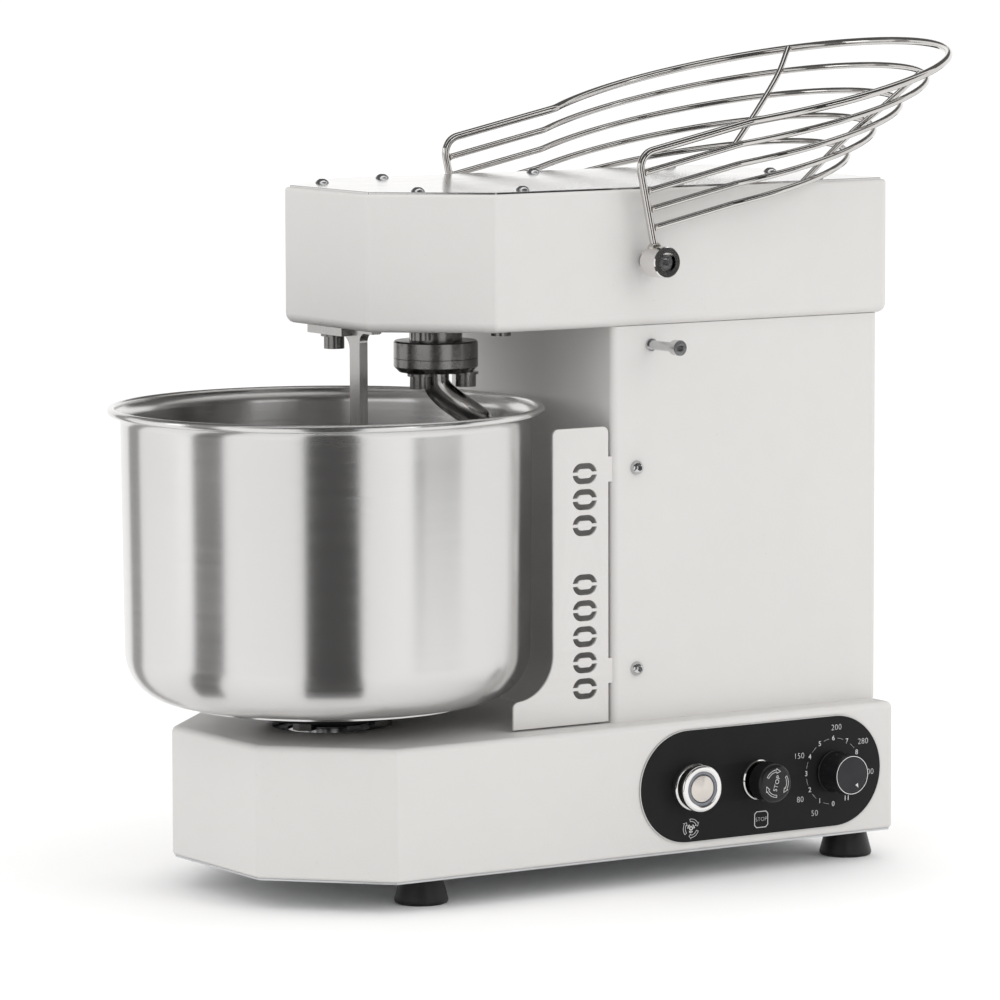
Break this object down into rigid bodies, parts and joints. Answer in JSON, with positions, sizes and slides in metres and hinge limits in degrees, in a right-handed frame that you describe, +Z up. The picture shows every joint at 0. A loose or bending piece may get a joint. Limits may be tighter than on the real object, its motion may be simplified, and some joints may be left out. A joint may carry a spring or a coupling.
{
  "type": "commercial stand mixer",
  "caption": "Table-top spiral dough mixer with fixed head, turning steel bowl, spiral hook, breaker bar, tilting wire guard and side control panel.",
  "frame": {"origin": "centre of the whole object seen from above, at the level of the bench under the feet", "axes": "+Z up, -Y towards the bowl, +X towards the control panel"},
  "size_m": [0.279, 0.5949, 0.5301],
  "materials": {
    "white_paint": "satin powder coat",
    "zinc_steel": "zinc plated",
    "foot_rubber": "matt",
    "screw_steel": "stainless",
    "lid_steel": "polished stainless with a light grain",
    "bar_steel": "brushed stainless",
    "dark_steel": "blackened steel",
    "cast_grey": "machined casting",
    "bearing_steel": "ground steel",
    "motor_paint": "satin paint",
    "belt_rubber": "matt",
    "panel_black": "satin black",
    "bright_metal": "bright",
    "led_plastic": "frosted",
    "black_plastic": "satin",
    "guard_chrome": "bright chrome wire",
    "pulley_aluminium": "turned",
    "hook_steel": "polished steel bar",
    "bowl_steel": "spun and polished stainless",
    "button_metal": "brushed"
  },
  "bodies": {
    "frame": {"base_housing": "white_paint", "base_plate": "zinc_steel", "feet": "foot_rubber", "foot_screws": "zinc_steel", "column_housing": "white_paint", "rear_cover": "white_paint", "rear_cover_screws": "screw_steel", "head_housing": "white_paint", "head_lid": "lid_steel", "lid_screws": "screw_steel", "side_plates": "white_paint", "column_screws": "screw_steel", "breaker_bar": "bar_steel", "breaker_bolt": "dark_steel", "spiral_housing": "cast_grey", "housing_bolts": "dark_steel", "spiral_bearings": "bearing_steel", "layshaft_blocks": "cast_grey", "layshaft_bearings": "bearing_steel", "bowl_housing": "cast_grey", "bowl_bearings": "bearing_steel", "motor": "motor_paint", "motor_plate": "zinc_steel", "drive_belt": "belt_rubber", "spiral_belt": "belt_rubber", "bowl_belt": "belt_rubber", "control_panel": "panel_black", "button_bezel": "bright_metal", "button_led_ring": "led_plastic", "estop_collar": "bright_metal", "dial_potentiometer": "zinc_steel", "control_box": "black_plastic", "cable_gland": "black_plastic", "guard_spacers": "zinc_steel", "guard_pivot_bolts": "screw_steel", "stop_bolts": "screw_steel"},
    "guard": {"guard_frame": "guard_chrome", "guard_ring_1": "guard_chrome", "guard_ring_2": "guard_chrome", "guard_ring_3": "guard_chrome", "guard_ring_4": "guard_chrome", "guard_ribs": "guard_chrome", "guard_hubs": "bright_metal"},
    "spiral": {"spiral_shaft": "dark_steel", "spiral_pulley": "pulley_aluminium", "upper_flange": "dark_steel", "lower_flange": "dark_steel", "flange_bolts": "dark_steel", "spiral_hook": "hook_steel"},
    "turning_bowl": {"bowl": "bowl_steel", "bowl_base_ring": "bowl_steel", "bowl_flange": "panel_black", "bowl_bolts": "dark_steel", "bowl_shaft": "bearing_steel", "bowl_pulley": "pulley_aluminium"},
    "layshaft_unit": {"layshaft": "pulley_aluminium"},
    "rotor": {"motor_rotor": "pulley_aluminium"},
    "button_cap": {"start_button": "button_metal"},
    "stop_head": {"estop_head": "black_plastic"},
    "dial": {"speed_dial": "black_plastic"}
  },
  "joints": [
    {"name": "guard_hinge", "type": "hinge", "parent": "frame", "child": "guard", "pos_m": [0, 0.015, 0.3975], "axis": [1, 0, 0], "range_deg": [0, 169.5]},
    {"name": "bowl_spin", "type": "hinge", "parent": "frame", "child": "turning_bowl", "pos_m": [0, -0.1592, 0.2], "axis": [0, 0, 1], "continuous": true},
    {"name": "spiral_spin", "type": "hinge", "parent": "frame", "child": "spiral", "pos_m": [0, -0.0775, 0.34], "axis": [0, 0, 1], "continuous": true},
    {"name": "layshaft_spin", "type": "hinge", "parent": "frame", "child": "layshaft_unit", "pos_m": [0, 0.035, 0.2], "axis": [0, 0, 1], "continuous": true},
    {"name": "motor_spin", "type": "hinge", "parent": "frame", "child": "rotor", "pos_m": [0, 0.125, 0.35], "axis": [0, 0, 1], "continuous": true},
    {"name": "start_push", "type": "slide", "parent": "frame", "child": "button_cap", "axis": [-1, 0, 0], "range_m": [0, 0.0015], "stiffness_N_per_m": 800, "springref_m": -0.001},
    {"name": "stop_push", "type": "slide", "parent": "frame", "child": "stop_head", "axis": [-1, 0, 0], "range_m": [0, 0.004]},
    {"name": "speed_turn", "type": "hinge", "parent": "frame", "child": "dial", "pos_m": [0.1175, 0.1512, 0.0618], "axis": [1, 0, 0], "range_deg": [0, 330]}
  ],
  "couplings": [
    {"joint": "layshaft_spin", "follows": "bowl_spin", "ratio": 5.4286},
    {"joint": "spiral_spin", "follows": "bowl_spin", "ratio": 5.8163},
    {"joint": "motor_spin", "follows": "bowl_spin", "ratio": 18.095}
  ]
}
